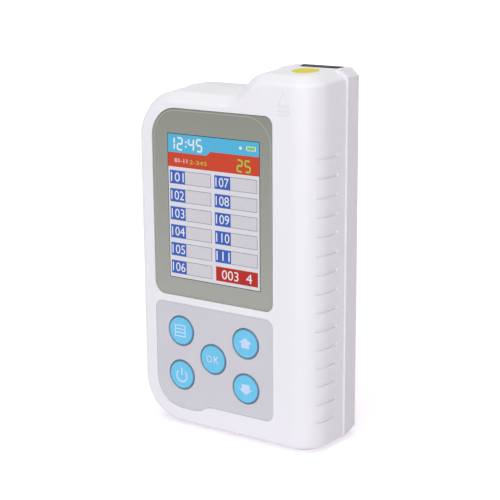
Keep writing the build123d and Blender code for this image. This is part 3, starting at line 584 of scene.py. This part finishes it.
def screenSheet(name, color, left, top, width, height, layer):
    addSheet(pictureLeft + left * mm, pictureTop - top * mm, width * mm, height * mm, layerFront(layer))
    thicken(picture["step"] * mm)
    return finishPiece(name, screenLook[color])


def flatBox(piece):  # lowest and highest x and y of a flat piece
    xs = [vertex.co.x for vertex in piece.data.vertices]
    ys = [vertex.co.y for vertex in piece.data.vertices]
    return min(xs), min(ys), max(xs), max(ys)


def fitFlat(piece, left, top, width, height):  # scales a flat piece's mesh into an oblong
    lowX, lowY, highX, highY = flatBox(piece)
    piece.scale = (width / (highX - lowX), height / (highY - lowY), 1)
    bpy.ops.object.transform_apply(location=False, rotation=False, scale=True)
    lowX, lowY, highX, highY = flatBox(piece)
    piece.rotation_euler = facingUser
    piece.location = (left - lowX, 0, top - highY)


def wordPiece(name, body, look, left, top, width, height, front, thickness, ride="case", bold=0.0):
    startPiece()
    bpy.ops.object.text_add()
    bpy.context.object.data.body = body
    bpy.context.object.data.resolution_u = 4
    bpy.context.object.data.offset = bold
    bpy.ops.object.convert(target="MESH")
    piece = bpy.context.object
    fitFlat(piece, left, top, width, height)
    piece.location.y = front
    bpy.ops.object.transform_apply(location=True, rotation=True, scale=True)
    weldPoints(near)
    thicken(thickness)
    return finishPiece(name, look, ride)


def screenWord(name, body, color, left, top, width, height, layer):
    return wordPiece(
        name, body, screenLook[color], pictureLeft + left * mm, pictureTop - top * mm,
        width * mm, height * mm, layerFront(layer), picture["step"] * mm,
    )


# a number is made of lit bars with slanted ends, as in counters
barPlaces = {  # middle in widths and heights of the figure, and whether the bar stands
    "a": (0.5, 1.0, False), "b": (1.0, 0.75, True), "c": (1.0, 0.25, True), "d": (0.5, 0.0, False),
    "e": (0.0, 0.25, True), "f": (0.0, 0.75, True), "g": (0.5, 0.5, False),
}
barsOf = {
    "0": "abcdef", "1": "bc", "2": "abged", "3": "abgcd", "4": "fgbc",
    "5": "afgcd", "6": "afgedc", "7": "abc", "8": "abcdefg", "9": "abfgcd",
}
figures = {  # as shares of a figure's height, unless noted
    "width": 0.5,
    "pitch": 0.84,
    "thick": 0.16,
    "half": 0.6,  # of a bar's thickness, from its middle to its corner
    "fill": 0.96,  # of the length between two corners
    "colonLeft": 0.06,
    "colonRises": (0.3, 0.7),
    "colonDot": 1.25,  # of its thickness
    "colonPitch": 0.42,  # of the pitch
}


def litBar(middle, length, thick, upright):
    half = thick * figures["half"]
    end = length / 2
    inner = end - half
    outer = inner + half * math.cos(math.pi / 6)
    outline = [
        (-outer, half / 2), (-outer, -half / 2), (inner, -half),
        (outer, -half / 2), (outer, half / 2), (-inner, half),
    ]
    startPiece()
    bpy.ops.mesh.primitive_circle_add(vertices=len(outline), fill_type="NGON")
    bar = bpy.context.object
    for vertex, (across, up) in zip(bar.data.vertices, outline):
        vertex.co = (across, up, 0)
    if upright:
        bar.rotation_euler = (0, 0, math.pi / 2)
        bpy.ops.object.transform_apply(location=False, rotation=True, scale=False)
    bar.rotation_euler = facingUser
    bar.location = middle
    bpy.ops.object.transform_apply(location=True, rotation=True, scale=True)
    return bar


def litNumber(name, text, color, left, top, height, layer):
    bars = []
    front = layerFront(layer)
    thick = figures["thick"] * height * mm
    x = left
    for figure in text:
        if figure == ":":
            across = pictureLeft + (x + figures["colonLeft"] * height) * mm
            for rise in figures["colonRises"]:
                dot = (across, front, pictureTop - (top + height * rise) * mm)
                bars.append(litBar(dot, figures["colonDot"] * thick, thick, True))
            x += figures["pitch"] * height * figures["colonPitch"]
            continue
        for place in barsOf[figure]:
            across, up, upright = barPlaces[place]
            middle = (
                pictureLeft + (x + across * figures["width"] * height) * mm,
                front,
                pictureTop - (top + height * (1 - up)) * mm,
            )
            length = (0.5 if upright else figures["width"]) * height * mm
            bars.append(litBar(middle, length * figures["fill"], thick, upright))
        x += figures["pitch"] * height
    joinPieces(bars)
    thicken(picture["step"] * mm)
    return finishPiece(name, screenLook[color])


layout = {
    "stepLeft": 6.15,  # lower edge of the header at the left
    "stepRight": 4.75,
    "stepAt": (15.8, 17.4),
    "bandBottom": 11.05,
    "numbers": (
        # name, figures, colour, left, top, height
        ("clock_figures", "12:45", "white", 0.75, 1.2, 3.9),
        ("strip_count", "25", "lime", 28.1, 6.4, 3.7),
    ),
    "lines": (
        # name, figures, colour, left, top, width, height
        ("date_figures", "01-11", "white", 2.75, 8.1, 5.2, 1.35),
        ("year_figures", "2-345", "lime", 8.9, 8.25, 7.0, 1.35),
    ),
    "rowTop": 12.25,
    "rowPitch": 6.22,
    "rowHeight": 4.58,
    "outline": 0.18,
    "columns": ((0.6, 6.9, 17.5, 6), (18.9, 25.25, 35.75, 5)),  # cell left, cell right, value right, rows
    "itemsAbove": 100,
    "item": (0.45, 0.7, 5.3, 3.1),  # from the cell's left and top, width, height
    "count": (19.07, 43.15, 16.8, 4.95),  # left, top, width, height
    "countFigures": (
        # name, figures, from the count's left and top, width, height
        ("count_figures", "003", 2.4, 0.9, 6.7, 3.2),
        ("count_figure_end", "4", 12.1, 0.9, 2.4, 3.2),
    ),
}


def addHeader(sizes):
    start, end = sizes["stepAt"]
    bandTop = sizes["stepRight"]
    drop = sizes["stepLeft"] - bandTop
    screenSheet("screen_header", "header", 0, 0, pictureWide, bandTop, "field")
    tab = screenSheet("screen_tab", "header", 0, bandTop, end, drop, "cell")
    middle = (pictureLeft + end / 2 * mm, pictureTop - (bandTop + drop / 2) * mm)
    for vertex in tab.data.vertices:  # the tab's right end slants
        if vertex.co.x > middle[0] and vertex.co.z < middle[1]:
            vertex.co.x -= (end - start) * mm
    screenSheet("screen_band", "band", 0, bandTop, pictureWide, sizes["bandBottom"] - bandTop, "field")


def addRow(sizes, item, left, right, end, top):
    tall = sizes["rowHeight"]
    edge = sizes["outline"]
    inner = (right, top + edge, end - right - edge, tall - 2 * edge)
    screenSheet(f"value_edge_{item:02d}", "edge", right, top, end - right, tall, "field")
    screenSheet(f"value_{item:02d}", "value", *inner, "cell")
    screenSheet(f"cell_{item:02d}", "cell", left, top, right - left, tall, "cell")
    across, down, wide, high = sizes["item"]
    figuresOf = str(sizes["itemsAbove"] + item)
    screenWord(f"item_{item:02d}", figuresOf, "white", left + across, top + down, wide, high, "print")


def buildPicture(sizes):
    border = picture["border"]
    outside = (-border, -border, pictureWide + 2 * border, pictureTall + 2 * border)
    screenSheet("screen_border", "black", *outside, "border")
    screenSheet("screen_ground", "ground", 0, 0, pictureWide, pictureTall, "ground")
    addHeader(sizes)
    for number in sizes["numbers"]:
        litNumber(*number, "print")
    for line in sizes["lines"]:
        screenWord(*line, "print")
    addBattery(battery)
    addSignal(signal)
    item = 0
    for left, right, end, rows in sizes["columns"]:
        for row in range(rows):
            item += 1
            addRow(sizes, item, left, right, end, sizes["rowTop"] + row * sizes["rowPitch"])
    left, top, wide, tall = sizes["count"]
    screenSheet("count_cell", "count", left, top, wide, tall, "cell")
    for name, text, across, down, wide, tall in sizes["countFigures"]:
        screenWord(name, text, "white", left + across, top + down, wide, tall, "print")


battery = {
    "place": (31.8, 1.6),
    "size": (3.5, 1.45),
    "edge": 0.2,
    "nub": (0.25, 0.7),
    "bars": 3,
    "barShare": 0.9,
}


def addBattery(sizes):
    left, top = sizes["place"]
    wide, tall = sizes["size"]
    edge = sizes["edge"]
    nubWide, nubTall = sizes["nub"]
    screenSheet("battery_outline", "white", left, top, wide, tall, "cell")
    screenSheet("battery_nub", "white", left - nubWide, top + (tall - nubTall) / 2, nubWide, nubTall, "cell")
    pitch = (wide - 2 * edge) / sizes["bars"]
    for bar in range(sizes["bars"]):
        place = (left + edge + bar * pitch, top + edge, pitch * sizes["barShare"], tall - 2 * edge)
        screenSheet(f"battery_bar_{bar}", "green", *place, "print")


signal = {"place": (29.4, 2.4), "radius": 0.55, "points": 24}


def addSignal(sizes):
    left, top = sizes["place"]
    place = (pictureLeft + left * mm, layerFront("cell"), pictureTop - top * mm)
    addDisc(place, sizes["radius"] * mm, sizes["points"])
    thicken(picture["step"] * mm)
    finishPiece("signal_dot", screenLook["white"])


buildPicture(layout)
print("picture built")


# painted highlight: a lighter, glossy line just inside the lens's edge

highlightLine = {
    "inset": 0.55,
    "line": 0.28,
    "radii": (9.45, 2.45, 2.45, 3.45),
    "segments": 10,
    "proud": 0.01,
    "color": (150, 155, 143),
    "roughness": 0.1,
    "sheen": (0.06, 0.16),
    "sheenPatches": 3 * mm,
    "coat": {"Coat Weight": 0.6},
}


def addHighlightLine(sizes):
    inset = sizes["inset"] * mm
    wide, tall = lensHigh.x - lensLow.x - 2 * inset, lensHigh.z - lensLow.z - 2 * inset
    addSheet(lensLow.x + inset, lensHigh.z - inset, wide, tall, lensLow.y - sizes["proud"] * mm)
    roundCorners([radius * mm for radius in sizes["radii"]], sizes["segments"])
    leaveRim(sizes["line"] * mm)
    thicken(sizes["proud"] * mm)
    # painted highlight: the line's colour is lighter than the print round it
    look = Look("paintedHighlightLine", sizes["color"], sizes["roughness"], **sizes["coat"])
    look.sheen(look.noise(sizes["sheenPatches"]), *sizes["sheen"])
    finishPiece("lens_highlight_line", look)


addHighlightLine(highlightLine)
print("polish added")


# printed signs on the keys

signs = {
    "proud": 0.015 * mm,
    "weld": 0.002 * mm,
    "color": (206, 224, 250),
    "washed": (190, 214, 248),
    "washPatches": 1.5 * mm,
    "roughness": 0.45,
}
signLook = Look("keyPrint", signs["color"], signs["roughness"])
signLook.tint(signLook.noise(signs["washPatches"]), signs["washed"], signs["color"])
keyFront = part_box("key_ok")[0].y - signs["proud"]


def keyCentre(name):
    low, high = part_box("key_" + name)
    return (low + high) / 2


def signSheet(centre, left, top, width, height):
    addSheet(centre.x + left * mm, centre.z + top * mm, width * mm, height * mm, keyFront)
    return bpy.context.object


def finishSign(name, parts, body):
    joinPieces(parts)
    weldPoints(signs["weld"])
    thicken(2 * signs["proud"])
    finishPiece(name, signLook, body)


menu = {"wide": 4.2, "tall": 4.3, "line": 0.42, "rows": 4, "shift": -0.35}


def menuSign(sizes):
    centre = keyCentre("menu")
    wide, tall, line, shift = sizes["wide"], sizes["tall"], sizes["line"], sizes["shift"]
    parts = []
    for side in (-wide / 2, wide / 2):
        parts.append(signSheet(centre, shift + side - line / 2, tall / 2, line, tall))
    for row in range(sizes["rows"]):
        top = tall / 2 - row * (tall - line) / (sizes["rows"] - 1)
        parts.append(signSheet(centre, shift + (line - wide) / 2, top, wide - line, line))
    finishSign("sign_menu", parts, "menu_key")


power = {
    "radius": 2.4,
    "line": 0.55,
    "points": 90,
    "drop": 0.35,  # from the key's middle to the ring's
    "gap": 38,  # degrees each way from the top
    "stemTop": 2.6,
    "stemTall": 2.7,
}


def powerSign(sizes):
    centre = keyCentre("power")
    line = sizes["line"]
    place = Vector((centre.x, keyFront, centre.z - sizes["drop"] * mm))
    addDisc(place, sizes["radius"] * mm, sizes["points"])
    ring = bpy.context.object
    leaveRim(line * mm)
    bpy.ops.object.transform_apply(location=True, rotation=True, scale=True)
    bpy.ops.object.mode_set(mode="EDIT")
    bpy.ops.mesh.select_mode(type="FACE")
    bpy.ops.object.mode_set(mode="OBJECT")
    for face in ring.data.polygons:
        away = face.center - place
        face.select = abs(math.degrees(math.atan2(away.x, away.z))) < sizes["gap"]
    bpy.ops.object.mode_set(mode="EDIT")
    bpy.ops.mesh.delete(type="FACE")
    bpy.ops.mesh.select_mode(type="VERT")
    bpy.ops.object.mode_set(mode="OBJECT")
    stem = signSheet(centre, -line / 2, sizes["stemTop"], line, sizes["stemTall"])
    finishSign("sign_power", [ring, stem], "power_key")


okay = {"left": -2.65, "top": 1.3, "wide": 2.2, "tall": 2.7, "pitch": 2.95, "bold": 0.02}


def okSign(sizes):
    centre = keyCentre("ok")
    for step, letter in enumerate("OK"):
        left = centre.x + (sizes["left"] + step * sizes["pitch"]) * mm
        place = (left, centre.z + sizes["top"] * mm, sizes["wide"] * mm, sizes["tall"] * mm)
        name = "sign_ok_" + letter.lower()
        wordPiece(name, letter, signLook, *place, keyFront, 2 * signs["proud"], "ok_key", sizes["bold"])


arrow = {"half": 2.7, "neck": 1.6, "tip": 2.1, "middle": 0.2, "foot": -1.6}


def arrowSign(name, way, sizes):  # a broad head on a short body, drawn as one outline
    centre = keyCentre(name)
    half, neck, middle, foot = sizes["half"], sizes["neck"], sizes["middle"], sizes["foot"]
    outline = [
        (0, sizes["tip"]), (half, middle), (neck, middle), (neck, foot),
        (-neck, foot), (-neck, middle), (-half, middle),
    ]
    startPiece()
    bpy.ops.mesh.primitive_circle_add(vertices=len(outline), fill_type="NGON")
    head = bpy.context.object
    for vertex, (across, up) in zip(head.data.vertices, outline):
        vertex.co = (centre.x - way * across * mm, keyFront, centre.z + way * up * mm)
    finishSign("sign_" + name, [head], name + "_key")


menuSign(menu)
powerSign(power)
okSign(okay)
arrowSign("up", 1, arrow)
arrowSign("down", -1, arrow)
print("key signs built")


# plain label in the recess of the back

label = {
    "left": -20.0,  # edges of the recess
    "right": 14.0,
    "low": 40.0,
    "high": 74.0,
    "deep": 0.25,
    "gap": 0.3,
    "radius": 1.8,
    "thick": 0.15,
    "color": (214, 216, 218),
    "roughness": 0.3,
    "grain": (0.4, 0.004),
    "shade": 3,
}


def addLabel(sizes):
    startPiece()
    back = cadBox[1].y - (sizes["deep"] - sizes["thick"]) * mm
    wide = (sizes["right"] - sizes["left"] - 2 * sizes["gap"]) * mm
    tall = (sizes["high"] - sizes["low"] - 2 * sizes["gap"]) * mm
    middle = ((sizes["left"] + sizes["right"]) / 2 * mm, back, (sizes["low"] + sizes["high"]) / 2 * mm)
    bpy.ops.mesh.primitive_plane_add(size=1, location=middle, rotation=(-math.pi / 2, 0, 0))
    bpy.context.object.scale = (wide, tall, 1)
    bpy.ops.object.transform_apply(location=True, rotation=True, scale=True)
    roundCorners([sizes["radius"] * mm] * 4)
    thicken(sizes["thick"] * mm)
    look = moulded("labelFilm", sizes["color"], sizes["roughness"], *sizes["grain"], shade=sizes["shade"])
    finishPiece("blank_label", look)


addLabel(label)
print("label built")


# studio: pale floor, soft lamps

studio = {
    "floorSize": 9.0,
    "floorColor": (246, 239, 247),
    "floorRoughness": 0.9,
    "floorLift": 0.45,  # added where the camera sees it, so the floor is white and keeps its shadow
    "whiteFrom": (0.15, 0.9),  # m; the lift grows to full white between these distances
    "sky": 0.27,
    "lamps": (
        # name, place (m), size (m), power (W)
        ("key", (0.55, -1.1, 0.3), 0.9, 8.5),
        ("overhead", (0.0, -0.3, 1.5), 1.1, 11.5),
    ),
    "aim": (0, 0, 0.06),
}


def addFloor(sizes):
    startPiece()
    bpy.ops.mesh.primitive_plane_add(size=sizes["floorSize"], location=(0, 0, 0))
    floor = bpy.context.object
    floor.name = "floor"
    look = Look("paper", sizes["floorColor"], sizes["floorRoughness"], **{"Specular IOR Level": 0.0})
    paper = Wire(look, look.shader.outputs[0])
    near, far = sizes["whiteFrom"]
    distance = look.node("ShaderNodeVectorMath", {"operation": "LENGTH"}, {0: look.point()}, "Value")
    share = look.spread(distance, 0.0, 1.0, near, far)
    grey = (*[sizes["floorLift"]] * 3, 1)
    lift = look.node("ShaderNodeEmission", {}, {"Color": look.blend(share, grey, (1, 1, 1, 1))})
    lifted = look.node("ShaderNodeAddShader", {}, {0: paper, 1: lift})
    both = look.node("ShaderNodeMixShader", {}, {0: look.seen(), 1: paper, 2: lifted})
    look.feed(look.tree.nodes["Material Output"].inputs["Surface"], both)
    floor.data.materials.append(look.material)


def addSky(sizes):
    world = bpy.data.worlds.new("studio")
    bpy.context.scene.world = world
    world.use_nodes = True
    sky = Graph(world.node_tree)
    back = world.node_tree.nodes["Background"]
    sky.feed(back.inputs["Color"], (1, 1, 1, 1))
    sky.feed(back.inputs["Strength"], sky.seen() * (1 - sizes["sky"]) + sizes["sky"])


def addLamp(name, place, size, power, aim):
    data = bpy.data.lights.new(name, "AREA")
    data.size = size
    data.energy = power
    lamp = bpy.data.objects.new(name, data)
    bpy.context.scene.collection.objects.link(lamp)
    lamp.location = place
    lamp.rotation_euler = (Vector(aim) - Vector(place)).to_track_quat("-Z", "Y").to_euler()


addFloor(studio)
addSky(studio)
for lampName, place, size, power in studio["lamps"]:
    addLamp(lampName, place, size, power, studio["aim"])
print("studio lit")
